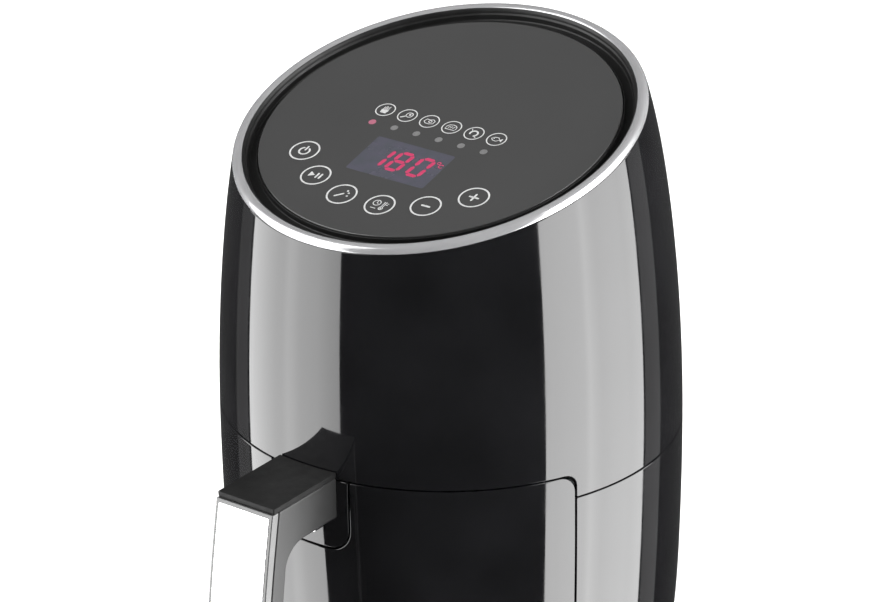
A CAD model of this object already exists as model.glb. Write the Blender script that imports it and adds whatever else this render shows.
"""Looks of the hot-air fryer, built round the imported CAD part.

Sizes below are millimetres, as in part.scad, and a piece becomes metres when its mesh is made.
Shells are drawn from the body's own curves, so each lies where its CAD node lies.
"""

import math

import bpy
import numpy as np
from mathutils import Matrix, Vector
from mathutils.geometry import delaunay_2d_cdt


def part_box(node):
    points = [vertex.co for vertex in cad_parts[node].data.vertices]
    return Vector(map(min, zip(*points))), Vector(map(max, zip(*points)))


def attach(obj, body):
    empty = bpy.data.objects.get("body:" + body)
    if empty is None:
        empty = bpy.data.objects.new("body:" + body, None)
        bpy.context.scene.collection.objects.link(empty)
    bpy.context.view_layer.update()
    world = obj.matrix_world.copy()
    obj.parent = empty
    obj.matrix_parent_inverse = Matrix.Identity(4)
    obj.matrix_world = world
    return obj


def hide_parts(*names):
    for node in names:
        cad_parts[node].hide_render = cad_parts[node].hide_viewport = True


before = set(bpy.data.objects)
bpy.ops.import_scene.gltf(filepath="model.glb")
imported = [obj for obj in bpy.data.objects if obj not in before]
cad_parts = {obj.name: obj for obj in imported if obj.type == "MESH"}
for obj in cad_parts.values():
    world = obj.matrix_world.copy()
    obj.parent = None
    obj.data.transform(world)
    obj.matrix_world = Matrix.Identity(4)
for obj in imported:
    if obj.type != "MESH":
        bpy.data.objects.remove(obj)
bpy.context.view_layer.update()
MM = 0.001
X, Y, Z = 0, 1, 2


def low(node, axis):
    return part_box(node)[0][axis] / MM


def high(node, axis):
    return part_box(node)[1][axis] / MM


# ---------- sizes: curves repeated from part.scad, places read from the frame ----------

MAX_R = 125
WIDEST_Z = 138
UPPER_ARC_R = 1110
LOWER_ARC_R = 2000
SHOULDER_H, SHOULDER_DROP, SHOULDER_POWER = 200, 3.8, 7
TUCK_DROP, TUCK_POWER = 12, 12
WALL = 2.8
GAP = 0.8
DECK_Z = 314
DECK_TILT = math.radians(15)
RING_W = 7
RING_H = 3.4
BEZEL_DEPTH = 4
GLASS_R = 96.8
GLASS_FRONT = 6.9
FRONT_ANGLE = math.radians(67.5)
PANEL_CORNER_R = 9
NOTCH_HALF_W = 25.5
NOTCH_CORNER_R = 13
HANDLE_CAP_T = 5.8
ROOT_FRONT = -175.5
GRIP_T = 16
ROOT_FILLET_R = 15

AXIS_Y = (low("motor_shaft", Y) + high("motor_shaft", Y)) / 2
FOOT_H = low("base_ring", Z)
SILL_Z = high("base_ring", Z)
SEAM_LOW = high("lower_housing", Z)
SEAM_HIGH = low("upper_housing", Z)
DRAWER_LOW = low("drawer_panel", Z)
DRAWER_TOP = high("drawer_panel", Z)
NOTCH_LOW = low("escutcheon", Z) - 1
HANDLE_TOP = high("handle_top_cover", Z)
HANDLE_LOW = low("handle_front_cap", Z)
HANDLE_HALF = high("handle_shell", X)
GRIP_FRONT = low("handle_front_cap", Y) - AXIS_Y
ROOT_UNDER = DRAWER_TOP - 21
GLAND_Z = (low("cord_gland", Z) + high("cord_gland", Z)) / 2
PAN_R = 95
PAN_FLOOR = low("pan", Z)
PAN_RIM = high("pan", Z)
BASKET_R = 89
BASKET_FLOOR = low("basket_floor", Z)
BASKET_RIM = high("basket", Z)

ON_AXIS = Matrix.Translation((0, AXIS_Y, 0))
ON_DECK = ON_AXIS @ Matrix.Translation((0, 0, DECK_Z)) @ Matrix.Rotation(DECK_TILT, 4, "X")


def body_r(z):
    """Outside radius of the body at height z."""
    h = abs(z - WIDEST_Z)
    if z > WIDEST_Z:
        return MAX_R - h * h / (2 * UPPER_ARC_R) - SHOULDER_DROP * (h / SHOULDER_H) ** SHOULDER_POWER
    return MAX_R - h * h / (2 * LOWER_ARC_R) - TUCK_DROP * (h / WIDEST_Z) ** TUCK_POWER


def deck_reach(angle):
    """Distance from the axis, at an angle from +X, to where the body's side meets the deck plane."""
    reach = MAX_R - 15
    for _ in range(12):
        reach = body_r(DECK_Z + math.tan(DECK_TILT) * reach * math.sin(angle))
    return reach


def deck_edge(angle):
    """A point of the deck's outline in the deck plane, at an angle from +X."""
    reach = deck_reach(angle)
    return Vector((reach * math.cos(angle), reach * math.sin(angle) / math.cos(DECK_TILT)))


def deck_line(turn):
    """Height at which the body's side meets the deck plane, at a turn from the front."""
    angle = turn - math.pi / 2
    return DECK_Z + math.tan(DECK_TILT) * deck_reach(angle) * math.sin(angle)


# ---------- where things are drawn: (u, v) on a face and d, the depth under it ----------


def on_skin(u, v, d):
    """The body's side unrolled: u is the arc from the front, v the height."""
    reach = body_r(v) - d
    return Vector((reach * math.sin(u / MAX_R), AXIS_Y - reach * math.cos(u / MAX_R), v))


def on_plane(matrix):
    return lambda u, v, d: matrix @ Vector((u, v, -d))


def on_tube(radius):
    """The outside of an upright tube round the body's axis, unrolled."""
    def place(u, v, d):
        reach = radius - d
        return Vector((reach * math.sin(u / radius), AXIS_Y - reach * math.cos(u / radius), v))
    return place


def on_side(half_w):
    """The right-hand face of something drawn in side view: u is y from the axis, v the height."""
    return on_plane(ON_AXIS @ Matrix(((0, 0, 1, half_w), (1, 0, 0, 0), (0, 1, 0, 0), (0, 0, 0, 1))))


# ---------- outlines: lists of (point, outward normal) in (u, v) ----------


def right_of(direction):
    return Vector((direction.y, -direction.x))


def turned(vector, angle):
    return Matrix.Rotation(angle, 2) @ vector


def path(corners, closed=True, pitch=8.0, steps=5):
    """A path through (u, v, radius) corners, with an arc at each and points on the straights."""
    spots = [Vector(c[:2]) for c in corners]
    count = len(spots)
    out = []
    for i, (u, v, radius) in enumerate(corners):
        here = spots[i]
        if not closed and i in (0, count - 1):
            ahead = (spots[1] - here if i == 0 else here - spots[-2]).normalized()
            out.append((here, right_of(ahead)))
            continue
        arrive = here - spots[i - 1]
        leave = spots[(i + 1) % count] - here
        turn = math.atan2(arrive.x * leave.y - arrive.y * leave.x, arrive.dot(leave))
        if abs(turn) < 1e-4:
            out.append((here, right_of(arrive.normalized())))
            continue
        reach = min(radius * math.tan(abs(turn) / 2), arrive.length * 0.5, leave.length * 0.5)
        radius = reach / math.tan(abs(turn) / 2)
        way = arrive.normalized()
        inward = turned(way, math.copysign(math.pi / 2, turn))
        centre = here - way * reach + inward * radius
        for k in range(steps + 1):
            share = turn * k / steps
            out.append((centre - turned(inward, share) * radius, right_of(turned(way, share))))
    return refined(out, closed, pitch)


def refined(points, closed, pitch):
    """The same path with no straight stretch longer than the pitch."""
    out = []
    for i, (here, normal) in enumerate(points):
        out.append((here, normal))
        if i == len(points) - 1 and not closed:
            break
        after, after_normal = points[(i + 1) % len(points)]
        if (after - here).length < 1e-6:
            out.pop()
            continue
        parts = math.ceil((after - here).length / pitch)
        for k in range(1, parts):
            share = k / parts
            out.append((here.lerp(after, share), normal.lerp(after_normal, share).normalized()))
    return out


def smooth(points, closed=True):
    """A path along a smooth curve given by its points."""
    out = []
    for i, here in enumerate(points):
        before = points[i - 1] if closed or i else here
        after = points[(i + 1) % len(points)] if closed or i < len(points) - 1 else here
        out.append((here, right_of((after - before).normalized())))
    return out


def circle(radius, centre=(0, 0), sides=64, hole=False):
    way = -1 if hole else 1
    spots = [i * way * math.tau / sides for i in range(sides)]
    return smooth([Vector(centre) + Vector((math.cos(a), math.sin(a))) * radius for a in spots])


def rectangle(u0, v0, u1, v1, radius, hole=False, pitch=8.0, steps=5):
    corners = [(u0, v0, radius), (u1, v0, radius), (u1, v1, radius), (u0, v1, radius)]
    return path(corners[::-1] if hole else corners, pitch=pitch, steps=steps)


def slot_hole(u, v, half_w, height, radius, pitch):
    """A round-cornered slot centred on u that rises from v, drawn clockwise."""
    return rectangle(u - half_w, v, u + half_w, v + height, radius, hole=True, pitch=pitch, steps=4)


def inset(loop, amount):
    return [(point - normal * amount, normal) for point, normal in loop]


# ---------- meshes ----------


class Shape:
    """Faces collected by the place of their corners: corners at one place are one vertex."""

    def __init__(self):
        self.index = {}
        self.points = []
        self.normals = []
        self.faces = []

    def face(self, corners):
        ids = []
        for point, normal in corners:
            key = tuple(round(c, 3) for c in point)
            if key not in self.index:
                self.index[key] = len(self.points)
                self.points.append(point)
                self.normals.append(normal)
            if self.index[key] not in ids:
                ids.append(self.index[key])
        if len(ids) < 3:
            return
        spots = [self.points[i] for i in ids]
        facing = sum(((spots[i] - spots[0]).cross(spots[i + 1] - spots[0])
                      for i in range(1, len(spots) - 1)), Vector((0, 0, 0)))
        outward = sum((self.normals[i] for i in ids), Vector((0, 0, 0)))
        self.faces.append(ids if facing.dot(outward) >= 0 else ids[::-1])

    def strip(self, one, other, closed=True):
        for i in range(len(one) - (0 if closed else 1)):
            j = (i + 1) % len(one)
            self.face([one[i], one[j], other[j], other[i]])

    def wrap(self, rows):
        """Joins each row of corners to the next, and the last to the first."""
        for k, row in enumerate(rows):
            self.strip(row, rows[(k + 1) % len(rows)])


def mesh_object(name, shape):
    mesh = bpy.data.meshes.new(name)
    mesh.from_pydata([p * MM for p in shape.points], [], shape.faces)
    made = bpy.data.objects.new(name, mesh)
    bpy.context.scene.collection.objects.link(made)
    return made


def piece(name, shape, body, material, *nodes):
    """Makes the mesh object, rides it on its CAD body and hides the CAD nodes it stands for."""
    made = mesh_object(name, shape)
    made.data.shade_smooth()
    made.data.normals_split_custom_set_from_vertices(shape.normals)
    made.data.materials.append(material)
    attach(made, body)
    if nodes:
        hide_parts(*nodes)
    return made


TRIMMED = Vector((0, 1, 0))


def local_frame(place, u, v, d):
    """Directions of u, v and outward at a point of a face. Where a face is trimmed to the body's
    curve its points stop moving backwards, so +Y stands in for that direction."""
    h = 0.05
    along_u = place(u + h, v, d) - place(u - h, v, d)
    along_v = place(u, v + h, d) - place(u, v - h, d)
    along_u = (along_u if along_u.length > h else TRIMMED).normalized()
    along_v = (along_v if along_v.length > h else TRIMMED).normalized()
    return along_u, along_v, along_u.cross(along_v).normalized()


def ring_at(loop, place, amount, depth, side, up):
    """The loop moved inwards and down, with normals between sideways and up."""
    out = []
    for point, normal in inset(loop, amount):
        along_u, along_v, outward = local_frame(place, point.x, point.y, depth)
        sideways = (along_u * normal.x + along_v * normal.y).normalized()
        out.append((place(point.x, point.y, depth), (sideways * side + outward * up).normalized()))
    return out


def edge_rings(loop, place, depth, edge, steps, walls):
    """Rings from the face, over its rounded edge, down the wall and round to the back."""
    turns = [math.pi / 2 * k / steps for k in range(steps + 1)]
    bend = [(math.sin(a), math.cos(a)) for a in turns]
    rings = [ring_at(loop, place, edge * (1 - s), edge * (1 - c), s, c) for s, c in bend]
    for k in range(1, walls):
        rings.append(ring_at(loop, place, 0, edge + (depth - 2 * edge) * k / walls, 1, 0))
    rings += [ring_at(loop, place, edge * (1 - s), depth - edge * (1 - c), s, -c) for s, c in bend[::-1]]
    return rings


def inside(points, loops):
    """Which points lie inside an odd number of the loops."""
    points = np.asarray(points, float)
    found = np.zeros(len(points), bool)
    for loop in loops:
        for i in range(len(loop)):
            (ax, ay), (bx, by) = loop[i], loop[(i + 1) % len(loop)]
            if ay == by:
                continue
            crosses = (ay > points[:, 1]) != (by > points[:, 1])
            at = ax + (points[:, 1] - ay) * (bx - ax) / (by - ay)
            found ^= crosses & (points[:, 0] < at)
    return found


def cap(shape, loops, place, depth, up, pitch):
    """Fills the space between loops of (u, v) points with triangles that follow the surface. With
    a pitch, points on a grid are added inside, clear of the edge."""
    spots = [tuple(p) for loop in loops for p in loop]
    links = []
    start = 0
    for loop in loops:
        links += [(start + i, start + (i + 1) % len(loop)) for i in range(len(loop))]
        start += len(loop)
    if pitch:
        edge = np.array(spots)
        corner, size = edge.min(0), np.ptp(edge, 0)
        steps = [max(1, round(length / pitch)) for length in size]
        inner = [(corner[0] + size[0] * (i + 0.5) / steps[0], corner[1] + size[1] * (j + 0.5) / steps[1])
                 for j in range(steps[1]) for i in range(steps[0])]
        keep = inside(inner, loops)
        keep &= np.array([((edge - p) ** 2).sum(1).min() > (0.35 * pitch) ** 2 for p in np.array(inner)])
        spots += [p for p, wanted in zip(inner, keep) if wanted]
    _, _, faces, origin, _, _ = delaunay_2d_cdt([Vector(p) for p in spots], links, [], 1, 1e-7)
    faces = [[origin[i][0] for i in face] for face in faces]
    middles = [np.mean([spots[i] for i in face], axis=0) for face in faces]
    wanted = inside(middles, loops)
    corner = {}
    for face, good in zip(faces, wanted):
        if not good:
            continue
        for i in face:
            if i not in corner:
                outward = local_frame(place, *spots[i], depth)[2]
                corner[i] = (place(*spots[i], depth), outward * up)
        shape.face([corner[i] for i in face])


def plate(shape, loops, place, depth, edge=0.6, steps=3, walls=1, pitch=None, back=True, seam=False,
          hole_edge=None):
    """A closed plate: the first loop is its outline and the others are holes, drawn clockwise.
    With a seam, the first two are open paths round the body that together bound the plate."""
    open_paths = 2 if seam else 0
    outlines = max(open_paths, 1)
    edges = [edge if i < outlines else hole_edge or edge for i in range(len(loops))]
    for i, loop in enumerate(loops):
        rings = edge_rings(loop, place, depth, edges[i], steps, walls)
        for one, other in zip(rings, rings[1:]):
            shape.strip(one, other, closed=i >= open_paths)
    bounds = [[tuple(p) for p, _ in inset(loop, edges[i])] for i, loop in enumerate(loops)]
    if seam:
        first, second = bounds[:2]
        bounds[:2] = [first + seam_line(first[-1], second[0]) + second + seam_line(second[-1], first[0])]
    cap(shape, bounds, place, 0, 1, pitch)
    if back:
        cap(shape, bounds, place, depth, -1, pitch)


def seam_line(start, end, pitch=8.0):
    parts = round(abs(end[1] - start[1]) / pitch)
    return [(start[0], start[1] + (end[1] - start[1]) * k / parts) for k in range(1, parts)]


def lathe(shape, profile, matrix=ON_AXIS, sides=96):
    """Turns a closed (radius, height) path round the matrix's Z axis."""
    rows = []
    for k in range(sides):
        a = k * math.tau / sides
        out = Vector((math.cos(a), math.sin(a), 0))
        up = Vector((0, 0, 1))
        rows.append([(matrix @ (out * max(p.x, 0) + up * p.y),
                      matrix.to_3x3() @ (out * n.x + up * n.y)) for p, n in profile])
    shape.wrap(rows)


INK = 0.06


def printed(shape, loops, place):
    plate(shape, loops, place, INK, edge=0.015, steps=1, back=False)


def ribbon(shape, points, width, place, closed=False):
    """A thin printed line of constant width along (u, v) points."""
    spots = [Vector(p) for p in points]
    if closed:
        line = smooth(spots if area(spots) > 0 else spots[::-1])
        outer = [(p + n * width / 2, n) for p, n in line]
        hole = [(p - n * width / 2, -n) for p, n in line][::-1]
        printed(shape, [outer, hole], place)
        return
    line = smooth(spots, closed=False)
    outer = [(p + n * width / 2, n) for p, n in line]
    outer += cap_arc(line[-1], width / 2)
    outer += [(p - n * width / 2, -n) for p, n in line[::-1]]
    outer += cap_arc((line[0][0], -line[0][1]), width / 2)
    printed(shape, [outer], place)


def area(spots):
    """Signed area of a closed outline, positive when it runs anticlockwise."""
    return sum(spots[i - 1].x * p.y - p.x * spots[i - 1].y for i, p in enumerate(spots)) / 2


def cap_arc(end, radius, steps=6):
    point, normal = end
    return [(point + turned(normal, math.pi * k / steps) * radius, turned(normal, math.pi * k / steps))
            for k in range(1, steps)]


def arc(centre, radius, start, stop, steps=24):
    """Points along an arc, with angles in degrees."""
    turns = [math.radians(start + (stop - start) * k / steps) for k in range(steps + 1)]
    return [(centre[0] + radius * math.cos(a), centre[1] + radius * math.sin(a)) for a in turns]


# ---------- finishes: one short function each, all procedural ----------


class Finish:
    """A Principled material with helpers for procedural detail, in the piece's own metres."""

    def __init__(self, slot, colour, roughness, metallic=0.0, **values):
        self.material = bpy.data.materials.new(slot + "_look")
        self.material["slot"] = slot
        self.material.use_nodes = True
        self.nodes = self.material.node_tree.nodes
        self.links = self.material.node_tree.links
        self.shader = self.nodes["Principled BSDF"]
        self.shader.inputs["Base Color"].default_value = (*colour, 1)
        self.shader.inputs["Roughness"].default_value = roughness
        self.shader.inputs["Metallic"].default_value = metallic
        for name, value in values.items():
            self.shader.inputs[name.replace("_", " ").title().replace("Ior", "IOR")].default_value = value
        self.place = self.nodes.new("ShaderNodeTexCoord").outputs["Object"]
        self.normal = None

    def stretched(self, scale):
        mapping = self.nodes.new("ShaderNodeMapping")
        mapping.inputs["Scale"].default_value = scale
        self.links.new(self.place, mapping.inputs["Vector"])
        return mapping.outputs["Vector"]

    def noise(self, scale, detail=3.0, stretch=(1, 1, 1), distortion=0.0):
        node = self.nodes.new("ShaderNodeTexNoise")
        node.inputs["Scale"].default_value = scale
        node.inputs["Detail"].default_value = detail
        node.inputs["Distortion"].default_value = distortion
        self.links.new(self.stretched(stretch), node.inputs["Vector"])
        return node.outputs["Fac"]

    def cells(self, scale, output="Distance", stretch=(1, 1, 1)):
        node = self.nodes.new("ShaderNodeTexVoronoi")
        node.inputs["Scale"].default_value = scale
        self.links.new(self.stretched(stretch), node.inputs["Vector"])
        return node.outputs[output]

    def ramp(self, value, start, end, low=0.0, high=1.0):
        node = self.nodes.new("ShaderNodeMapRange")
        for name, number in zip(("From Min", "From Max", "To Min", "To Max"), (start, end, low, high)):
            node.inputs[name].default_value = number
        self.links.new(value, node.inputs["Value"])
        return node.outputs["Result"]

    def roughness(self, value, low, high, start=0.3, end=0.7):
        self.links.new(self.ramp(value, start, end, low, high), self.shader.inputs["Roughness"])

    def colours(self, value, *stops):
        node = self.nodes.new("ShaderNodeValToRGB")
        while len(node.color_ramp.elements) < len(stops):
            node.color_ramp.elements.new(0.5)
        for element, (at, colour) in zip(node.color_ramp.elements, stops):
            element.position = at
            element.color = (*colour, 1)
        self.links.new(value, node.inputs["Fac"])
        self.links.new(node.outputs["Color"], self.shader.inputs["Base Color"])

    def greys(self, value, dark, light, end=0.8, blue=0.0):
        self.colours(value, (0.3, grey(dark, blue)), (end, grey(light, blue)))

    def relief(self, height, depth_mm, strength=1.0):
        node = self.nodes.new("ShaderNodeBump")
        node.inputs["Strength"].default_value = strength
        node.inputs["Distance"].default_value = depth_mm * MM
        self.links.new(height, node.inputs["Height"])
        if self.normal is not None:
            self.links.new(self.normal, node.inputs["Normal"])
        self.normal = node.outputs["Normal"]
        self.links.new(self.normal, self.shader.inputs["Normal"])


def grey(value, blue=0.0):
    return (value, value, value * (1 + blue))


def black_gloss():
    f = Finish("black_gloss", grey(0.006, 0.1), 0.05, ior=1.5, coat_weight=0.25, coat_roughness=0.02)
    f.colours(f.noise(22, 4), (0.35, grey(0.005, 0.1)), (0.7, grey(0.008, 0.1)))
    f.roughness(f.noise(35, 6, distortion=0.4), 0.03, 0.075)
    f.relief(f.noise(26, 2, stretch=(1, 1, 0.45)), 0.05)
    f.relief(f.noise(700, 2), 0.0006)
    return f.material


def black_plastic():
    f = Finish("black_plastic", grey(0.022), 0.5, specular_ior_level=0.4)
    f.greys(f.noise(60, 5), 0.018, 0.028, 0.75)
    f.roughness(f.noise(240, 4), 0.42, 0.6)
    f.relief(f.cells(1300), 0.03, 0.6)
    return f.material


def groove_plastic():
    f = Finish("black_plastic", grey(0.01), 0.42, specular_ior_level=0.25)
    f.greys(f.noise(80, 4), 0.008, 0.013)
    f.roughness(f.noise(200, 4), 0.36, 0.5)
    f.relief(f.cells(1500), 0.02, 0.5)
    return f.material


def handle_plastic():
    f = Finish("handle_plastic", grey(0.026), 0.3, specular_ior_level=0.35)
    f.greys(f.noise(40, 5), 0.022, 0.03)
    f.roughness(f.noise(260, 5), 0.28, 0.32)
    f.relief(f.noise(900, 3), 0.01, 0.6)
    return f.material


def cap_plastic():
    f = Finish("handle_plastic", grey(0.06), 0.22, specular_ior_level=0.6, coat_weight=0.3,
               coat_roughness=0.1)
    f.greys(f.noise(50, 4), 0.052, 0.068)
    f.roughness(f.noise(90, 6), 0.16, 0.26)
    f.relief(f.noise(700, 3), 0.005, 0.6)
    return f.material


def top_plastic():
    f = Finish("top_plastic", grey(0.01), 0.5, specular_ior_level=0.18)
    f.greys(f.noise(70, 5), 0.008, 0.012)
    f.roughness(f.noise(160, 5), 0.48, 0.62)
    f.relief(f.cells(1700), 0.025, 0.6)
    return f.material


def ring_chrome():
    f = Finish("ring_chrome", grey(0.46, 0.02), 0.16, metallic=0.5, coat_weight=0.3, coat_roughness=0.05)
    f.greys(f.noise(30, 4), 0.43, 0.49, blue=0.02)
    f.roughness(f.noise(120, 6), 0.13, 0.22)
    f.relief(f.noise(60, 2), 0.01)
    return f.material


def insert_metal():
    f = Finish("insert_metal", grey(0.82), 0.24, metallic=1.0)
    f.greys(f.noise(700, 3, stretch=(1, 1, 0.02)), 0.78, 0.86)
    f.roughness(f.noise(900, 4, stretch=(1, 1, 0.015)), 0.2, 0.32)
    f.relief(f.noise(1800, 3, stretch=(1, 1, 0.012)), 0.004, 0.7)
    return f.material


def panel_glass():
    f = Finish("panel_glass", grey(0.046), 0.26, ior=1.5, coat_weight=0.15, coat_roughness=0.12)
    f.greys(f.noise(9, 3), 0.044, 0.048)
    f.roughness(f.noise(20, 2), 0.258, 0.268)
    f.relief(f.noise(2200, 2), 0.0008, 0.4)
    return f.material


def display_window():
    f = Finish("display_glass", (0.062, 0.062, 0.078), 0.24)
    f.colours(f.noise(160, 3), (0.3, (0.056, 0.06, 0.07)), (0.75, (0.068, 0.064, 0.086)))
    f.roughness(f.noise(60, 5), 0.2, 0.3)
    return f.material


def mark_paint():
    f = Finish("light_guide", grey(0.62), 0.4)
    f.colours(f.noise(900, 4), (0.25, grey(0.36)), (0.7, grey(0.56)))
    f.roughness(f.noise(500, 4), 0.32, 0.48)
    return f.material


def dot_paint():
    f = Finish("light_guide", grey(0.2), 0.4)
    f.colours(f.noise(900, 4), (0.25, grey(0.11)), (0.75, grey(0.17)))
    f.roughness(f.noise(500, 4), 0.32, 0.48)
    return f.material


def lit_segment(colour, strength):
    f = Finish("display_glass", colour, 0.35)
    dim = tuple(c * 0.82 for c in colour)
    f.colours(f.noise(700, 4), (0.3, dim), (0.8, colour))
    f.roughness(f.noise(500, 4), 0.3, 0.45)
    f.shader.inputs["Emission Color"].default_value = (*colour, 1)
    f.shader.inputs["Emission Strength"].default_value = strength
    return f.material


def rubber_dark():
    f = Finish("rubber_dark", grey(0.03), 0.75, specular_ior_level=0.3)
    f.greys(f.noise(90, 5), 0.024, 0.04)
    f.roughness(f.noise(300, 4), 0.65, 0.85)
    f.relief(f.noise(1200, 4), 0.03, 0.6)
    return f.material


def sheet_steel():
    f = Finish("sheet_steel", grey(0.55, 0.02), 0.35, metallic=1.0)
    f.colours(f.cells(70, "Color"), (0.2, grey(0.46, 0.03)), (0.8, grey(0.62, 0.02)))
    f.roughness(f.noise(70, 6), 0.28, 0.45)
    f.relief(f.noise(900, 4), 0.006, 0.6)
    return f.material


def screw_steel():
    f = Finish("screw_steel", grey(0.6), 0.28, metallic=1.0)
    f.greys(f.noise(120, 5), 0.5, 0.68, 0.75)
    f.roughness(f.noise(300, 5), 0.22, 0.4)
    f.relief(f.noise(1500, 3), 0.006, 0.5)
    return f.material


def heater_tube():
    f = Finish("heater_tube", (0.3, 0.27, 0.24), 0.38, metallic=1.0)
    f.colours(f.noise(28, 5, distortion=0.8), (0.3, (0.2, 0.15, 0.12)), (0.5, (0.34, 0.3, 0.26)),
              (0.7, (0.24, 0.25, 0.32)))
    f.roughness(f.noise(150, 5), 0.3, 0.5)
    f.relief(f.noise(900, 4), 0.01, 0.6)
    return f.material


def fan_metal():
    f = Finish("fan_metal", grey(0.7), 0.3, metallic=1.0)
    f.greys(f.noise(80, 5), 0.62, 0.76)
    f.roughness(f.noise(260, 5), 0.24, 0.42)
    f.relief(f.noise(1100, 3), 0.006, 0.5)
    return f.material


def nonstick():
    f = Finish("nonstick", grey(0.03), 0.36, specular_ior_level=0.45)
    f.colours(f.cells(620), (0.05, grey(0.11)), (0.16, grey(0.034)), (0.6, grey(0.026)))
    f.roughness(f.noise(110, 6), 0.3, 0.46)
    f.relief(f.noise(1300, 4), 0.02, 0.6)
    return f.material


def motor_steel():
    f = Finish("motor_steel", grey(0.42, 0.04), 0.38, metallic=1.0)
    f.greys(f.noise(60, 5), 0.36, 0.48, blue=0.04)
    f.roughness(f.noise(200, 5), 0.32, 0.48)
    f.relief(f.noise(1000, 3), 0.008, 0.5)
    return f.material


def nut_brass():
    f = Finish("nut_brass", (0.72, 0.52, 0.22), 0.3, metallic=1.0)
    f.colours(f.noise(150, 5), (0.3, (0.6, 0.42, 0.16)), (0.8, (0.78, 0.58, 0.28)))
    f.roughness(f.noise(300, 5), 0.24, 0.42)
    f.relief(f.noise(1400, 3), 0.006, 0.5)
    return f.material


def circuit_board():
    f = Finish("circuit_board", (0.02, 0.12, 0.05), 0.35)
    f.colours(f.cells(160, "Distance", (1, 1, 1)), (0.08, (0.3, 0.26, 0.12)), (0.14, (0.02, 0.13, 0.055)),
              (0.7, (0.015, 0.09, 0.04)))
    f.roughness(f.noise(300, 4), 0.28, 0.42)
    f.relief(f.noise(600, 3), 0.02, 0.5)
    return f.material


def light_guide():
    f = Finish("light_guide", grey(0.78), 0.4)
    f.colours(f.noise(120, 4), (0.3, (0.74, 0.74, 0.71)), (0.8, (0.84, 0.84, 0.82)))
    f.roughness(f.noise(300, 4), 0.34, 0.5)
    f.relief(f.noise(900, 3), 0.01, 0.5)
    return f.material


def display_glass():
    f = Finish("display_glass", (0.03, 0.035, 0.05), 0.18)
    f.colours(f.noise(100, 4), (0.3, (0.026, 0.03, 0.044)), (0.8, (0.036, 0.042, 0.06)))
    f.roughness(f.noise(200, 4), 0.12, 0.25)
    return f.material


LOOKS = {make.__name__: make() for make in (
    black_gloss, black_plastic, handle_plastic, top_plastic, ring_chrome, insert_metal, panel_glass,
    display_glass, light_guide, circuit_board, rubber_dark, sheet_steel, screw_steel, heater_tube,
    fan_metal, nonstick, motor_steel, nut_brass)}


def dress_cad_nodes():
    """Gives every CAD node that is still shown the procedural look of its slot."""
    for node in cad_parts.values():
        for place in node.material_slots:
            slot = place.material.name.split(".")[0]
            if slot in LOOKS:
                place.material = LOOKS[slot]


# ---------- body ----------

ROUND = MAX_R * math.tau
SEAM_U = ROUND / 3
SEAM_START = SEAM_U - ROUND
BACK_U = -ROUND / 2
FRONT_U = MAX_R * FRONT_ANGLE
OPEN_U = FRONT_U + GAP
PITCH = 5.0
SEAM_LINE = 0.2


def base_ring():
    """Bottom ring of the body, up to the drawer's sill, with the flange that holds the base."""
    shape = Shape()
    top_z = SILL_Z - SEAM_LINE
    bottom = path([(SEAM_START, FOOT_H, 0), (SEAM_U, FOOT_H, 0)], closed=False, pitch=PITCH)
    top = path([(SEAM_U, top_z, 0), (SEAM_START, top_z, 0)], closed=False, pitch=PITCH)
    plate(shape, [bottom, top], on_skin, WALL, edge=0.5, pitch=PITCH, seam=True)
    hole_r, z0, z1, into_wall = 96.5, 8.5, 11, 1.5
    flange = [(hole_r, z0), (body_r(z0) - into_wall, z0), (body_r(z1) - into_wall, z1), (hole_r, z1)]
    lathe(shape, path([(r, z, 0.3) for r, z in flange], pitch=20), sides=128)
    piece("base_ring_shell", shape, "housing", LOOKS["black_gloss"], "base_ring")


def lower_housing():
    """Wall between the base ring and the seam, open at the front for the drawer. Its two lower
    front corners run out in a point along the opening's rounded corners."""
    shape = Shape()
    r = PANEL_CORNER_R + GAP
    z0 = SILL_Z + SEAM_LINE
    turns = [math.radians(-55 * k / 6) for k in range(7)]
    curve = [(OPEN_U - r + r * math.cos(a), SILL_Z + r + r * math.sin(a), 1.2) for a in turns]
    tip = curve[-1][0]
    curve[-1] = (tip, curve[-1][1], 0.5)
    loop = [(tip, z0, 0.5), (ROUND - tip, z0, 0.5)]
    loop += [(ROUND - u, v, radius) for u, v, radius in curve[::-1]]
    loop += [(ROUND - OPEN_U, SEAM_LOW, 0.7), (OPEN_U, SEAM_LOW, 0.7)]
    loop += curve
    plate(shape, [path(loop, pitch=PITCH)], on_skin, WALL, edge=0.45, pitch=PITCH)
    piece("lower_housing_shell", shape, "housing", LOOKS["black_gloss"], "lower_housing")


def grille_window(grow, hole):
    """The air outlet's outline at the back, grown by the gap round the grille."""
    half = MAX_R * math.radians(26) + grow / 2
    z0, z1 = low("outlet_grille", Z) - grow, high("outlet_grille", Z) + grow
    return rectangle(BACK_U - half, z0, BACK_U + half, z1, 3 + grow, hole, pitch=PITCH)


def upper_housing():
    """Shell above the seam, cut off by the tilted deck, with the air outlet's window behind."""
    shape = Shape()
    high_z = DRAWER_TOP + GAP
    radius = PANEL_CORNER_R + GAP
    bottom = path([(SEAM_START, SEAM_HIGH, 0), (-OPEN_U, SEAM_HIGH, 0.7), (-OPEN_U, high_z, radius),
                   (OPEN_U, high_z, radius), (OPEN_U, SEAM_HIGH, 0.7), (SEAM_U, SEAM_HIGH, 0)],
                  closed=False, pitch=PITCH)
    count, under_ring = 180, 0.15
    around = [SEAM_U - ROUND * k / count for k in range(count + 1)]
    rim = [Vector((u, deck_line(u / MAX_R) - under_ring)) for u in around]
    plate(shape, [bottom, smooth(rim, closed=False), grille_window(0.4, True)], on_skin, WALL,
          edge=0.5, pitch=PITCH, seam=True)
    piece("upper_housing_shell", shape, "housing", LOOKS["black_gloss"], "upper_housing")


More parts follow.
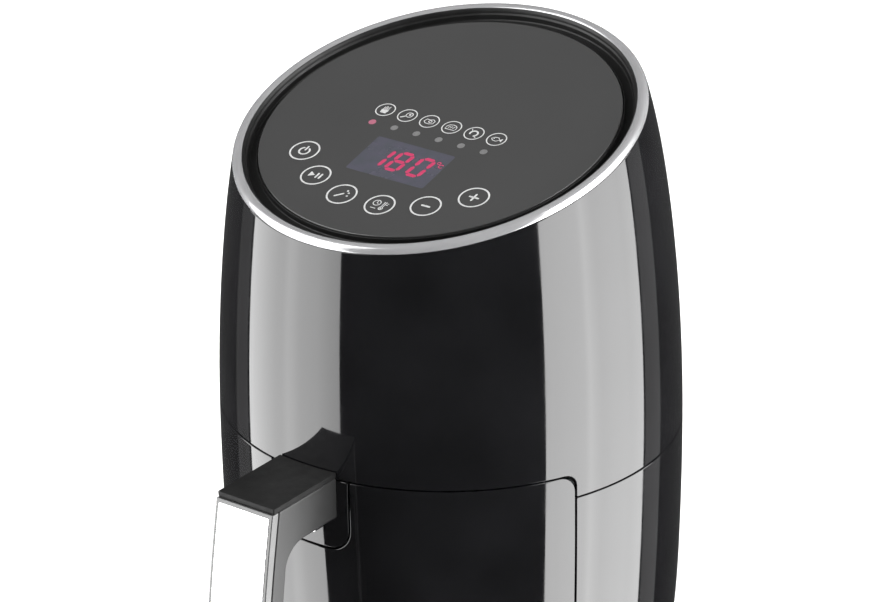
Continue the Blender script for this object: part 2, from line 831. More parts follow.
def outlet_grille():
    """Rear grille: a curved plate with seven rows of round-ended slots."""
    shape = Shape()
    slots = []
    half_slot, slot_h, row_pitch, column_pitch = 14.5, 3.4, 6.6, 37.63
    for row in range(7):
        for column in (-1, 0, 1):
            u, v = BACK_U + column * column_pitch, low("outlet_grille", Z) + 4 + row * row_pitch
            slots.append(slot_hole(u, v, half_slot, slot_h, 1.6, 4))
    plate(shape, [grille_window(0, False), *slots], on_skin, WALL, edge=0.45, steps=2, pitch=4)
    piece("rear_grille", shape, "housing", LOOKS["black_plastic"], "outlet_grille")


FOOT_SPOT = 66
BASE_R, BASE_T = 108, 2.4
BASE_SCREW_R, BASE_SCREW_ANGLES = 103, (30, 150, 210, 330)


def base_plate():
    """Bottom cover with two groups of air slots, holes for feet and screws, and a round rib."""
    shape = Shape()
    feet_at = [(x * FOOT_SPOT, y * FOOT_SPOT) for x in (-1, 1) for y in (-1, 1)]
    turns = [math.radians(a) for a in BASE_SCREW_ANGLES]
    screws_at = [(BASE_SCREW_R * math.sin(a), -BASE_SCREW_R * math.cos(a)) for a in turns]
    flip = ON_AXIS @ Matrix.Translation((0, 0, FOOT_H)) @ Matrix.Rotation(math.pi, 4, "X")
    holes = [circle(3.1, (x, -y), 24, hole=True) for x, y in feet_at]
    holes += [circle(2.1, (x, -y), 24, hole=True) for x, y in screws_at]
    half_slot, half_w, first, row_pitch = 22, 1.75, 30, 9
    for side in (-1, 1):
        for row in range(5):
            v = side * (first + row * row_pitch)
            holes.append(rectangle(-half_slot, v - half_w, half_slot, v + half_w, 1.7, hole=True))
    plate(shape, [circle(BASE_R, sides=160), *holes], on_plane(flip), BASE_T, edge=0.4)
    rib = path([(92, -0.9, 0.4), (93.5, -0.9, 0.4), (93.5, 0.4, 0.1), (92, 0.4, 0.1)], pitch=20)
    lathe(shape, rib, ON_AXIS @ Matrix.Translation((0, 0, FOOT_H)), sides=128)
    piece("base_cover", shape, "housing", LOOKS["black_plastic"], "base_plate")
    feet(feet_at)
    base_screws(screws_at)


def feet(spots):
    """Rubber feet with a ring groove in the tread."""
    shape = Shape()
    profile = path([(0, 0.35, 0), (3.2, 0.35, 0.2), (3.6, 0, 0.25), (5.2, 0, 0.25), (5.6, 0.5, 0.25),
                    (6.4, 0.5, 0.25), (6.8, 0, 0.25), (8.9, 0, 0.9), (9.9, FOOT_H - 0.1, 0.6),
                    (0, FOOT_H - 0.1, 0)], pitch=20)
    for x, y in spots:
        lathe(shape, profile, ON_AXIS @ Matrix.Translation((x, y, 0)), sides=48)
    piece("foot_pads", shape, "housing", LOOKS["rubber_dark"], "rubber_feet")


def cross_hole(size, width):
    """Outline of a cross recess, drawn clockwise."""
    a, b = size / 2, width / 2
    corners = [(a, -b), (a, b), (b, b), (b, a), (-b, a), (-b, b), (-a, b), (-a, -b), (-b, -b), (-b, -a),
               (b, -a), (b, -b)]
    return path([(u, v, 0.12) for u, v in corners[::-1]], pitch=3, steps=2)


def screw_head(shape, matrix, radius, height):
    """A pan head with a cross recess. The matrix's Z points out of the head's top."""
    loops = [circle(radius, sides=40), cross_hole(radius * 1.15, radius * 0.3)]
    plate(shape, loops, on_plane(matrix), height, edge=min(0.7, height * 0.45), steps=4, hole_edge=0.1)
    floor = matrix @ Matrix.Translation((0, 0, -height * 0.6))
    plate(shape, [circle(radius * 0.66, sides=24)], on_plane(floor), height * 0.3, edge=0.05, steps=1)


def base_screws(spots):
    shape = Shape()
    down = Matrix.Rotation(math.pi, 4, "X")
    for x, y in spots:
        at = Matrix.Translation((x, y, low("base_screws", Z)))
        screw_head(shape, ON_AXIS @ at @ down, 3.6, 2)
    piece("base_screw_heads", shape, "housing", LOOKS["screw_steel"], "base_screws")


def cord_gland():
    """Round bushing where the cord enters: a flange, a ribbed collar and the bore through it."""
    shape = Shape()
    y0 = low("cord_gland", Y) - AXIS_Y
    reach = high("cord_gland", Y) - AXIS_Y - y0
    face = body_r(GLAND_Z) - y0
    bore, neck, flange = 3.6, 7, 10
    outline = [(bore, 0, 0.3), (neck, 0, 0.6), (neck, face + 1.2, 0.2), (flange, face + 1.2, 0.5),
               (flange, face + 3.4, 0.8), (8.2, face + 3.9, 0.5), (8.2, face + 4.6, 0.3),
               (7.6, face + 4.8, 0.3), (7.6, face + 5.4, 0.3), (8, face + 5.6, 0.3),
               (7.4, reach, 0.8), (bore, reach, 0.6)]
    turn = ON_AXIS @ Matrix.Translation((0, y0, GLAND_Z)) @ Matrix.Rotation(-math.pi / 2, 4, "X")
    lathe(shape, path(outline, pitch=20), turn, sides=72)
    piece("cord_bushing", shape, "housing", LOOKS["rubber_dark"], "cord_gland")


# ---------- control deck ----------


def chrome_ring():
    """Half-round ring along the deck's outline, a little undercut where it meets the body."""
    shape = Shape()
    count, steps, step_in, foot = 288, 28, 0.15, 0.5
    half = RING_W / 2 - step_in
    rows = []
    for point, normal in smooth([deck_edge(math.tau * k / count) for k in range(count)]):
        middle = point - normal * (half + step_in)
        row = []
        for k in range(steps):
            a = math.tau * k / steps
            rise = RING_H if math.sin(a) > 0 else foot
            spot = middle + normal * half * math.cos(a)
            tilt = normal * math.cos(a) / half
            row.append((ON_DECK @ Vector((spot.x, spot.y, rise * math.sin(a))),
                        (ON_DECK.to_3x3() @ Vector((tilt.x, tilt.y, math.sin(a) / rise))).normalized()))
        rows.append(row)
    shape.wrap(rows)
    piece("chrome_trim_ring", shape, "housing", LOOKS["ring_chrome"], "chrome_ring")


GLASS_CENTRE = Vector((0, -GLASS_FRONT))
BEZEL_LIP = ((0.45, -0.2, 0.2), (1.0, 1.4, 0.5), (1.55, 2.3, 0.1), (1.32, 2.69, 0.1), (1.0, 2.38, 0.6),
             (0.71, 2.02, 0.6), (0.29, 1.2, 0.8), (0, 0, 0.6), (-0.7, -0.8, 0.4))


def panel_bezel():
    """The dark groove between the ring and the glass: two walls and a floor, as one moulding, with a
    lip that covers the ring's inner slope."""
    shape = Shape()
    count = 192
    rows = []
    for k in range(count):
        a = math.tau * k / count
        edge, normal = smooth([deck_edge(a - 0.01), deck_edge(a), deck_edge(a + 0.01)], closed=False)[1]
        outer = edge - normal * (RING_W + 0.05)
        inner = GLASS_CENTRE + (outer - GLASS_CENTRE).normalized() * (GLASS_R + 0.5)
        across = (outer - inner).normalized()
        width = (outer - inner).length
        lip = [(width + u, v, radius) for u, v, radius in BEZEL_LIP]
        section = path([(-1.2, -5.6, 0.2), (width, -5.6, 0.2), *lip,
                        (width - 1.1, -BEZEL_DEPTH, 1.2), (0.7, -BEZEL_DEPTH, 0.8), (0.45, -0.9, 0.25),
                        (0, -0.9, 0.15), (0, -3.2, 0.1), (-1.2, -3.2, 0.1)], pitch=30, steps=4)
        rows.append([(ON_DECK @ Vector((*(inner + across * p.x), p.y)),
                      ON_DECK.to_3x3() @ Vector((*(across * n.x), n.y))) for p, n in section])
    shape.wrap(rows)
    piece("groove_bezel", shape, "housing", groove_plastic(), "panel_bezel")


def control_glass():
    shape = Shape()
    plate(shape, [circle(GLASS_R, GLASS_CENTRE, 256)], on_plane(ON_DECK), 3, edge=0.5, steps=4)
    piece("control_glass_plate", shape, "housing", LOOKS["panel_glass"], "control_glass")


ON_GLASS = on_plane(ON_DECK @ Matrix.Translation((0, 0, INK)))


def mark_frame(u, v):
    """Where a mark is drawn: (u, v) from its own centre, printed on the glass."""
    return on_plane(ON_DECK @ Matrix.Translation((u, v, INK)))


def ring_mark(shape, place, radius, width, centre=(0, 0)):
    outer, inner = radius + width / 2, radius - width / 2
    printed(shape, [circle(outer, centre, 48), circle(inner, centre, 48, hole=True)], place)


def solid_mark(shape, place, corners, radius=0.15):
    printed(shape, [path([(u, v, radius) for u, v in corners], pitch=6, steps=3)], place)


def dot_mark(shape, place, centre, radius):
    printed(shape, [circle(radius, centre, 24)], place)


def power_key(shape, at):
    ribbon(shape, arc((0, -0.3), 2.9, 125, 415), 1.0, at)
    ribbon(shape, [(0, 0.6), (0, 3.6)], 1.0, at)


def play_key(shape, at):
    solid_mark(shape, at, [(-4, -2.1), (-0.6, 0), (-4, 2.1)])
    for u in (0.9, 3.1):
        ribbon(shape, [(u, -1.7), (u, 1.7)], 1.1, at)


def extras_key(shape, at):
    ribbon(shape, [(-2.8, -2.6), (0.6, 0.7)], 1.0, at)
    for u, v in ((1.6, 3.4), (3.1, 2.0), (3.6, -0.4)):
        dot_mark(shape, at, (u, v), 0.6)


def time_and_heat_key(shape, at):
    ring_mark(shape, at, 2.1, 0.5, (-2.3, 1))
    ribbon(shape, [(-2.3, 2.3), (-2.3, 1), (-1.4, 0.6)], 0.45, at)
    ribbon(shape, arc((2.2, -2.4), 1.1, 115, 425, 16), 0.5, at)
    ribbon(shape, [(1.7, -1.2), (1.7, 3)], 0.45, at)
    ribbon(shape, [(2.7, -1.2), (2.7, 3)], 0.45, at)
    dot_mark(shape, at, (2.2, -2.4), 0.55)
    for v in (1, 2.2):
        ribbon(shape, [(3.4, v), (4.4, v)], 0.4, at)
    ribbon(shape, [(-3.4, -3.4), (-0.6, -3.4)], 0.5, at)


def minus_key(shape, at):
    ribbon(shape, [(-2.2, 0), (2.2, 0)], 1.2, at)


def plus_key(shape, at):
    ribbon(shape, [(-2.6, 0), (-0.55, 0)], 1.1, at)
    ribbon(shape, [(0.55, 0), (2.6, 0)], 1.1, at)
    ribbon(shape, [(0, -2.6), (0, 2.6)], 1.1, at)


def fries_icon(shape, at):
    solid_mark(shape, at, [(-1.7, -2.9), (1.7, -2.9), (2.3, 0), (-2.3, 0)])
    for u, v in ((-1.5, 2.2), (-0.5, 3), (0.5, 2.5), (1.5, 2.9)):
        ribbon(shape, [(u, 0.3), (u, v)], 0.5, at)


def drumstick_icon(shape, at):
    ribbon(shape, arc((0.9, 0.8), 1.9, -110, 200), 0.5, at)
    ribbon(shape, [(-0.5, -0.6), (-2.7, -2.4)], 0.8, at)
    dot_mark(shape, at, (1.1, 1), 0.7)


def steak_icon(shape, at):
    edge = [(-3.1, -0.6), (-2.3, 1.5), (-0.2, 1.3), (1.4, 2.1), (3, 1), (2.9, -1.2), (1, -2), (-1.6, -1.9)]
    ribbon(shape, edge, 0.5, at, closed=True)
    ring_mark(shape, at, 0.9, 0.45, (0.5, 0.1))


def bread_icon(shape, at):
    crust = [(-3, -2), (-3.1, 0.4), (-2, 1.7), (0, 2.2), (2, 1.7), (3.1, 0.4), (3, -2)]
    ribbon(shape, crust, 0.5, at, closed=True)
    for u in (-1.4, 0, 1.4):
        ribbon(shape, [(u - 0.3, -0.6), (u + 0.3, 0.7)], 0.45, at)


def shrimp_icon(shape, at):
    ribbon(shape, arc((0, -0.2), 2.2, -60, 200), 1.0, at)
    ribbon(shape, [(1.2, -2.2), (2.6, -2.9)], 0.6, at)
    ribbon(shape, [(-2, 1.4), (-3, 3)], 0.35, at)


def fish_icon(shape, at):
    body = [(-3.2, 0), (-1.7, 1.3), (0.4, 1.6), (2, 0), (0.4, -1.6), (-1.7, -1.3)]
    ribbon(shape, body, 0.5, at, closed=True)
    solid_mark(shape, at, [(1.7, 0), (3.4, -1.5), (3.4, 1.5)])
    dot_mark(shape, at, (-1.7, 0.3), 0.4)


KEYS = [power_key, play_key, extras_key, time_and_heat_key, minus_key, plus_key]
KEY_SPOTS = [(-55, -52.9), (-35.7, -68.7), (-12.3, -77.1), (12.3, -77.1), (35.7, -68.7), (55, -52.9)]
KEY_R, ICON_R, DOT_R = 7.9, 5.3, 2.1
ICONS = [fries_icon, drumstick_icon, steak_icon, bread_icon, shrimp_icon, fish_icon]
ICON_PITCH = 14.5
ICON_V, DOT_V = -5.8, -17.7


def touch_marks():
    marks, dots, lamp = Shape(), Shape(), Shape()
    for draw, (u, v) in zip(KEYS, KEY_SPOTS):
        ring_mark(marks, mark_frame(u, v), KEY_R, 0.9)
        draw(marks, mark_frame(u, v))
    for i, draw in enumerate(ICONS):
        u = (i - 2.5) * ICON_PITCH
        ring_mark(marks, mark_frame(u, ICON_V), ICON_R, 0.6)
        draw(marks, mark_frame(u, ICON_V))
        dot_mark(lamp if i == 0 else dots, mark_frame(u, DOT_V), (0, 0), DOT_R)
    piece("printed_marks", marks, "housing", mark_paint())
    piece("status_dots", dots, "housing", dot_paint())
    piece("status_lamp", lamp, "housing", lit_segment((0.34, 0.11, 0.16), 0.04))


def segments(shape, at, lit, width, height, stroke):
    """A seven-segment digit, each lit bar a slim hexagon."""
    w, h, s = width / 2, height / 2, stroke / 2
    bars = {"a": (0, h, 0), "g": (0, 0, 0), "d": (0, -h, 0), "b": (w, h / 2, 1), "c": (w, -h / 2, 1),
            "f": (-w, h / 2, 1), "e": (-w, -h / 2, 1)}
    for name in lit:
        u, v, upright = bars[name]
        reach = (h / 2 if upright else w) - 0.35
        point = reach - s
        corners = [(-reach, 0), (-point, -s), (point, -s), (reach, 0), (point, s), (-point, s)]
        if upright:
            corners = [(-b, a) for a, b in corners]
        slant = 0.1
        solid_mark(shape, at, [(u + a + slant * (v + b), v + b) for a, b in corners], 0.1)


DISPLAY_V = -42


def display():
    """The display's window, three lit digits, and a degree mark with a small arc."""
    window, digits = Shape(), Shape()
    place = on_plane(ON_DECK @ Matrix.Translation((0, 0, INK / 2)))
    half_w, half_h = 25, 15
    outline = rectangle(-half_w, DISPLAY_V - half_h, half_w, DISPLAY_V + half_h, 1.2)
    plate(window, [outline], place, INK / 2, edge=0.01, steps=1, back=False)
    piece("display_window", window, "housing", display_window())
    for u, lit in ((-12.5, "bc"), (-0.6, "abcdefg"), (13, "abcdef")):
        segments(digits, mark_frame(u, DISPLAY_V), lit, 7.4, 15, 2.3)
    ring_mark(digits, ON_GLASS, 0.9, 0.5, (20.3, -35.2))
    ribbon(digits, arc((22.8, -37.2), 1.3, 50, 310, 16), 0.6, ON_GLASS)
    piece("display_digits", digits, "housing", lit_segment((0.42, 0.035, 0.1), 0.12))


# ---------- drawer front and handle ----------


def notch_u(half_w):
    return MAX_R * math.asin(half_w / body_r(DRAWER_TOP - 20))


def drawer_panel():
    shape = Shape()
    r, n = PANEL_CORNER_R, notch_u(NOTCH_HALF_W)
    loop = path([(-FRONT_U, DRAWER_LOW, r), (FRONT_U, DRAWER_LOW, r), (FRONT_U, DRAWER_TOP, r),
                 (n, DRAWER_TOP, 1.2), (n, NOTCH_LOW, NOTCH_CORNER_R), (-n, NOTCH_LOW, NOTCH_CORNER_R),
                 (-n, DRAWER_TOP, 1.2), (-FRONT_U, DRAWER_TOP, r)], pitch=PITCH, steps=8)
    plate(shape, [loop], on_skin, WALL, edge=0.5, steps=4, pitch=PITCH)
    piece("drawer_front_panel", shape, "drawer", LOOKS["black_gloss"], "drawer_panel")


def escutcheon():
    shape = Shape()
    n, r = notch_u(NOTCH_HALF_W - 1), NOTCH_CORNER_R - 1
    loop = path([(-n, NOTCH_LOW + 1, r), (n, NOTCH_LOW + 1, r), (n, DRAWER_TOP, 1), (-n, DRAWER_TOP, 1)],
                pitch=PITCH, steps=10)
    plate(shape, [loop], on_skin, 6.8, edge=0.6, steps=4, walls=2, pitch=PITCH)
    piece("handle_escutcheon", shape, "drawer", LOOKS["black_gloss"], "escutcheon")


SOFT = 1000
PLATE_RISE = 0.25


def front_line(z):
    """The handle's front edge, leaning outwards and turning upright towards its lower end."""
    share = (HANDLE_TOP - z) / (HANDLE_TOP - HANDLE_LOW)
    return ROOT_FRONT + (GRIP_FRONT - ROOT_FRONT) * math.sin(math.pi / 2 * share)


def front_points(top, bottom, offset, count=14):
    """The handle's front edge from a height down to another, moved back by an offset."""
    heights = [top + (bottom - top) * k / count for k in range(count + 1)]
    return [(front_line(z) + offset, z) for z in heights]


def handle_shell():
    """Grip and root in one: an L in side view, trimmed to the body's curve where it meets it."""
    shape = Shape()
    top = high("handle_shell", Z)
    edge = 1.0
    front = front_points(top, HANDLE_LOW + 6, HANDLE_CAP_T)
    back = front_points(ROOT_UNDER - ROOT_FILLET_R, HANDLE_LOW + 4, GRIP_T)[::-1]
    turns = [math.pi / 2 * k / 8 for k in range(1, 9)]
    r = ROOT_FILLET_R
    fillet = [(back[-1][0] + r * (1 - math.cos(a)), ROOT_UNDER - r * (1 - math.sin(a))) for a in turns]
    loop = [(*front[0], edge)] + [(*p, SOFT) for p in front[1:]]
    loop += [(front[-1][0] + 0.5, HANDLE_LOW, 3), (back[0][0] + 0.5, HANDLE_LOW, 3)]
    loop += [(*p, SOFT) for p in back + fillet]
    loop += [(-118, ROOT_UNDER, edge), (-118, top, edge)]
    flat = on_side(HANDLE_HALF)

    def place(u, v, d):
        x = HANDLE_HALF - d
        edge = -math.sqrt((body_r(v) + GAP) ** 2 - x * x)
        return flat(min(u, edge), v, d)

    plate(shape, [path(loop, pitch=3, steps=4)], place, 2 * HANDLE_HALF, edge=edge, steps=4, walls=14)
    piece("handle_grip", shape, "drawer", LOOKS["handle_plastic"], "handle_shell")


def handle_top_cover():
    """Matt lid on the handle, bevelled at its front and trimmed to the body's curve."""
    shape = Shape()
    front, back = ROOT_FRONT + 0.8, -121.5
    thickness = HANDLE_TOP - low("handle_top_cover", Z)
    half = HANDLE_HALF

    def place(u, v, d):
        edge = -math.sqrt((body_r(HANDLE_TOP) + GAP) ** 2 - u * u)
        return Vector((u, AXIS_Y + min(v, edge), HANDLE_TOP - d))

    corners = [(-half, front, 0.8), (half, front, 0.8), (half, back, 0.5), (-half, back, 0.5)]
    plate(shape, [path(corners, pitch=3, steps=4)], place, thickness, edge=0.45, steps=4)
    piece("handle_lid", shape, "drawer", LOOKS["top_plastic"], "handle_top_cover")


def handle_front_cap():
    """Frame of the grip's front: a curved strip that the bright plate lies on."""
    shape = Shape()
    top = high("handle_front_cap", Z)
    front = front_points(top, HANDLE_LOW + 5, PLATE_RISE)
    back = front_points(top, HANDLE_LOW + 0.6, HANDLE_CAP_T - 0.4)[::-1]
    edge = 0.6
    loop = [(*front[0], edge)] + [(*p, SOFT) for p in front[1:]]
    loop += [(GRIP_FRONT + PLATE_RISE, HANDLE_LOW, 4), (back[0][0], HANDLE_LOW, edge)]
    loop += [(*p, SOFT) for p in back[1:-1]] + [(*back[-1], edge)]
    plate(shape, [path(loop, pitch=3, steps=4)], on_side(HANDLE_HALF), 2 * HANDLE_HALF, edge=edge, steps=4)
    piece("handle_front_frame", shape, "drawer", cap_plastic(), "handle_front_cap")


def handle_insert():
    """Bright plate along the grip's front, drawn on the front's own curve."""
    shape = Shape()
    z0, z1 = low("handle_insert", Z), high("handle_insert", Z)
    half = high("handle_insert", X)

    def place(u, v, d):
        return Vector((u, AXIS_Y + front_line(v) + d - 0.05, v))

    plate(shape, [rectangle(-half, z0, half, z1, 0.9, pitch=3)], place, 1.4, edge=0.3, steps=4, pitch=3)
    piece("handle_bright_plate", shape, "drawer", LOOKS["insert_metal"], "handle_insert")


# ---------- inside the drawer ----------


def pan():
    shape = Shape()
    t, lip = 1.2, PAN_R + 4.5
    outline = [(0, PAN_FLOOR, 0), (PAN_R, PAN_FLOOR, 9), (PAN_R, PAN_RIM - t, 1.6),
               (PAN_R + 3.2, PAN_RIM - t, 0.5), (lip, PAN_RIM - t, 0.5), (lip, PAN_RIM, 0.55),
               (PAN_R - t, PAN_RIM, 1.4),
               (PAN_R - t, PAN_FLOOR + t, 7.8), (30, PAN_FLOOR + t, 1), (28.5, PAN_FLOOR + t + 1, 1),
               (20, PAN_FLOOR + t + 1, 1), (18.5, PAN_FLOOR + t, 1), (0, PAN_FLOOR + t, 0)]
    lathe(shape, path(outline, pitch=12, steps=7), sides=160)
    piece("drawer_pan", shape, "drawer", LOOKS["nonstick"], "pan")


def basket():
    """Basket: a pierced floor disc, then a wall with a rounded foot, slots and a rolled rim."""
    t, foot, lip = 1, 5, BASKET_R + 5
    sieve = Shape()
    spots = [(13 * k, math.radians(60 / k * i)) for k in range(1, 7) for i in range(6 * k)]
    holes = [circle(2.6, (r * math.cos(a), r * math.sin(a)), 16, hole=True) for r, a in spots]
    top = ON_AXIS @ Matrix.Translation((0, 0, BASKET_FLOOR + t))
    plate(sieve, [circle(BASKET_R - foot, sides=128), *holes], on_plane(top), t, edge=0.3, steps=2)
    piece("basket_sieve", sieve, "drawer", LOOKS["nonstick"], "basket_floor")
    shape = Shape()
    bend = [(BASKET_R - foot - 0.5, BASKET_FLOOR, 0.2), (BASKET_R, BASKET_FLOOR, foot),
            (BASKET_R, BASKET_FLOOR + foot + 4, 0.2), (BASKET_R - t, BASKET_FLOOR + foot + 4, 0.2),
            (BASKET_R - t, BASKET_FLOOR + t, foot - t), (BASKET_R - foot - 0.5, BASKET_FLOOR + t, 0.2)]
    lathe(shape, path(bend, pitch=20, steps=7), sides=160)
    wall_low, wall_high = BASKET_FLOOR + foot + 3.5, BASKET_RIM - 1
    half_round = math.pi * BASKET_R
    slots = []
    half_slot, slot_h, row_pitch, count = 1.6, 18, 26, 24
    for row in range(2):
        for i in range(count):
            u = half_round * (2 * (i + 0.5) / count - 1)
            v = BASKET_FLOOR + 12 + row * row_pitch
            slots.append(slot_hole(u, v, half_slot, slot_h, 1.5, 6))
    bottom = path([(-half_round, wall_low, 0), (half_round, wall_low, 0)], closed=False)
    upper = path([(half_round, wall_high, 0), (-half_round, wall_high, 0)], closed=False)
    plate(shape, [bottom, upper, *slots], on_tube(BASKET_R), t, edge=0.3, steps=2, pitch=8, seam=True)
    rim = [(BASKET_R - t, wall_high - 0.6, 0.3), (BASKET_R, wall_high - 0.6, 0.3),
           (BASKET_R, BASKET_RIM - 1.2, 0.5), (lip, BASKET_RIM - 1.2, 0.5), (lip, BASKET_RIM, 0.5),
           (BASKET_R - t, BASKET_RIM, 0.9)]
    lathe(shape, path(rim, pitch=20, steps=5), sides=160)
    piece("fry_basket", shape, "drawer", LOOKS["nonstick"], "basket")


def basket_bracket():
    """Bent steel strap that carries the basket, over the pan's rim and down inside it."""
    shape = Shape()
    top, front = high("basket_bracket", Z), low("basket_bracket", Y) - AXIS_Y
    t, half_w, back, front_z, back_z = 2, 10.5, -85.3, 122, 130
    loop = path([(front, front_z, 0.5), (front + t, front_z, 0.5), (front + t, top - t, 1.2),
                 (back - t, top - t, 1.2), (back - t, back_z, 0.5), (back, back_z, 0.5), (back, top, 3),
                 (front, top, 3)], pitch=6)
    plate(shape, [loop], on_side(half_w), 2 * half_w, edge=0.4, steps=3)
    piece("basket_strap", shape, "drawer", LOOKS["screw_steel"], "basket_bracket")


def soften_cad_nodes(*names):
    """Rounds the sharp edges of CAD nodes that stay in view, without moving a vertex of theirs."""
    for name in names:
        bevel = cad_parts[name].modifiers.new("rounded_edges", "BEVEL")
        bevel.width = 0.3 * MM
        bevel.segments = 2
        bevel.limit_method = "ANGLE"
        bevel.angle_limit = math.radians(50)
        bevel.harden_normals = True


# ---------- stage ----------

CAMERA_AZIMUTH = math.radians(37.27)
CAMERA_ELEVATION = math.radians(24.563)
CAMERA_ROLL = math.radians(-0.977)
CAMERA_DISTANCE = 2161.76
CAMERA_AIM = (-7.358, 208.996)
LENS = 166.946


def direction(azimuth, elevation=0.0):
    """Unit vector at an azimuth from -Y towards +X, in radians."""
    flat = math.cos(elevation)
    return Vector((math.sin(azimuth) * flat, -math.cos(azimuth) * flat, math.sin(elevation)))


def camera():
    back = direction(CAMERA_AZIMUTH, CAMERA_ELEVATION)
    right = Vector((math.cos(CAMERA_AZIMUTH), math.sin(CAMERA_AZIMUTH), 0))
    up = back.cross(right)
    c, s = math.cos(CAMERA_ROLL), math.sin(CAMERA_ROLL)
    aim = Vector((0, AXIS_Y, CAMERA_AIM[1])) + right * CAMERA_AIM[0]
    rotation = Matrix((right * c + up * s, up * c - right * s, back)).transposed()
    data = bpy.data.cameras.new("photo_camera")
    data.sensor_width = 36
    data.lens = LENS
    made = bpy.data.objects.new("photo_camera", data)
    made.matrix_world = Matrix.Translation((aim + back * CAMERA_DISTANCE) * MM) @ rotation.to_4x4()
    bpy.context.scene.collection.objects.link(made)
    bpy.context.scene.camera = made


def softbox(name, start, stop, strength, levels, distance=1500, height=4200, centre_z=250):
    """A tall glowing screen between two azimuths from the camera's side. Its levels are (share of the
    width, brightness) pairs, as a real softbox is brighter where its tubes are."""
    middle = math.radians((start + stop) / 2)
    half = distance * math.tan(abs(math.radians(stop - start)) / 2)
    spot = direction(CAMERA_AZIMUTH + middle)
    side = Vector((-spot.y, spot.x, 0)) * math.copysign(1, stop - start)
    shape = Shape()
    rows = []
    high_steps, half_steps = 8, 6
    for k in range(high_steps + 1):
        z = centre_z + height * (k / high_steps - 0.5)
        rows.append([(side * half * (i / half_steps - 1) + Vector((0, 0, z)), -spot)
                     for i in range(2 * half_steps + 1)])
    for one, other in zip(rows, rows[1:]):
        shape.strip(one, other, closed=False)
    made = mesh_object(name, shape)
    made.location = Vector((spot.x * distance, spot.y * distance + AXIS_Y, 0)) * MM
    f = Finish(name, grey(0), 1)
    across = f.nodes.new("ShaderNodeVectorMath")
    across.operation = "DOT_PRODUCT"
    across.inputs[1].default_value = side
    f.links.new(f.place, across.inputs[0])
    share = f.ramp(across.outputs["Value"], -half * MM, half * MM)
    f.colours(share, *[(at, grey(level)) for at, level in levels])
    glow = f.nodes.new("ShaderNodeEmission")
    f.links.new(f.nodes["Color Ramp"].outputs["Color"], glow.inputs["Color"])
    glow.inputs["Strength"].default_value = strength
    f.links.new(glow.outputs["Emission"], f.nodes["Material Output"].inputs["Surface"])
    made.data.materials.append(f.material)
    made.visible_camera = False


def studio_world():
    """Dim in front of the fryer, bright behind and above it; the camera itself sees plain white."""
    world = bpy.data.worlds.new("studio")
    bpy.context.scene.world = world
    world.use_nodes = True
    nodes, links = world.node_tree.nodes, world.node_tree.links
    where = nodes.new("ShaderNodeTexCoord")
    dot = nodes.new("ShaderNodeVectorMath")
    dot.operation = "DOT_PRODUCT"
    behind = -direction(CAMERA_AZIMUTH)
    dot.inputs[1].default_value = (behind * 0.8 + Vector((0, 0, 0.6))).normalized()
    links.new(where.outputs["Generated"], dot.inputs[0])
    ramp = nodes.new("ShaderNodeMapRange")
    ramp.interpolation_type = "SMOOTHSTEP"
    for name, number in zip(("From Min", "From Max", "To Min", "To Max"), (-0.1, 0.5, 0.22, 1.2)):
        ramp.inputs[name].default_value = number
    links.new(dot.outputs["Value"], ramp.inputs["Value"])
    path_info = nodes.new("ShaderNodeLightPath")
    seen = nodes.new("ShaderNodeMix")
    links.new(path_info.outputs["Is Camera Ray"], seen.inputs["Factor"])
    links.new(ramp.outputs["Result"], seen.inputs["A"])
    seen.inputs["B"].default_value = 0.97
    links.new(seen.outputs["Result"], nodes["Background"].inputs["Strength"])


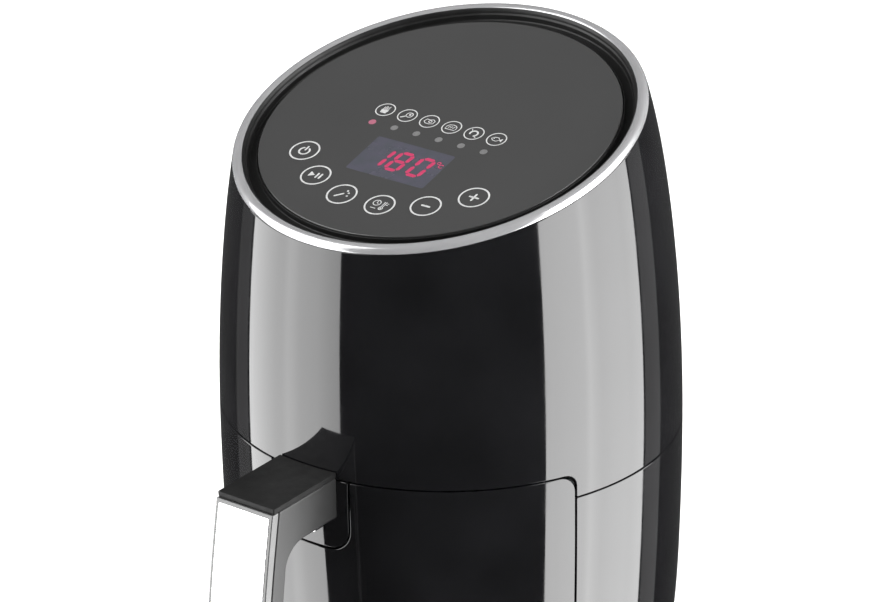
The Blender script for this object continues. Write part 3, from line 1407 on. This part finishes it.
def floor():
    """Plain pale floor that the glossy body doesn't mirror, as on a studio table."""
    shape = Shape()
    up = Vector((0, 0, 1))
    sides = 48
    turns = [math.tau * i / sides for i in range(sides)]
    rings = [[(Vector((math.cos(a) * r, math.sin(a) * r, 0)), up) for a in turns]
             for r in (1, 300, 900, 2700, 9000)]
    for one, other in zip(rings, rings[1:]):
        shape.strip(one, other)
    shape.face(rings[0])
    made = mesh_object("floor", shape)
    f = Finish("floor", grey(0.86), 0.8, specular_ior_level=0.1, emission_strength=0.4)
    f.shader.inputs["Emission Color"].default_value = (1, 1, 1, 1)
    f.colours(f.noise(3, 3), (0.2, grey(0.85)), (0.8, grey(0.87)))
    made.data.materials.append(f.material)
    made.visible_glossy = False


def overhead():
    """Soft light over the table that the glossy faces don't mirror."""
    data = bpy.data.lights.new("overhead", "AREA")
    data.shape = "RECTANGLE"
    data.size, data.size_y = 6, 6
    data.energy = 90
    made = bpy.data.objects.new("overhead", data)
    made.location = (0, 0.5, 3.6)
    made.visible_camera = False
    made.visible_glossy = False
    bpy.context.scene.collection.objects.link(made)


LEFT_LEVELS = ((0.03, 0.48), (0.11, 0.514), (0.22, 0.578), (0.39, 0.583), (0.45, 0.63), (0.5, 0.635),
               (0.56, 0.55), (0.62, 0.527), (0.8, 0.54), (1.0, 0.52))
RIGHT_LEVELS = ((0.0, 0.86), (0.2, 0.875), (0.354, 0.868), (0.404, 0.955), (0.456, 0.86), (0.51, 0.79),
                (0.62, 0.755), (0.744, 0.69), (0.815, 0.63), (1.0, 0.56))


def lights():
    softbox("softbox_left", -53.9, -114.1, 9.6, LEFT_LEVELS)
    softbox("softbox_right", 44.5, 105.4, 9.3, RIGHT_LEVELS)
    softbox("rear_screen_right", 106.5, 121, 0.4, ((0.0, 1.0), (1.0, 0.9)))
    softbox("rear_screen_left", -115.5, -128, 0.3, ((0.0, 1.0), (0.4, 0.7), (1.0, 0.6)))
    overhead()


def build():
    for make in (camera, base_ring, lower_housing, upper_housing, outlet_grille, base_plate, cord_gland,
                 chrome_ring, panel_bezel, control_glass, touch_marks, display, drawer_panel, escutcheon,
                 handle_shell, handle_top_cover, handle_front_cap, handle_insert, pan, basket,
                 basket_bracket):
        make()
    soften_cad_nodes("drawer_frame", "release_slider", "basket_bumpers", "latch_hook", "guide_rails")
    dress_cad_nodes()
    studio_world()
    floor()
    lights()
    bpy.context.scene.view_settings.view_transform = "Standard"


build()
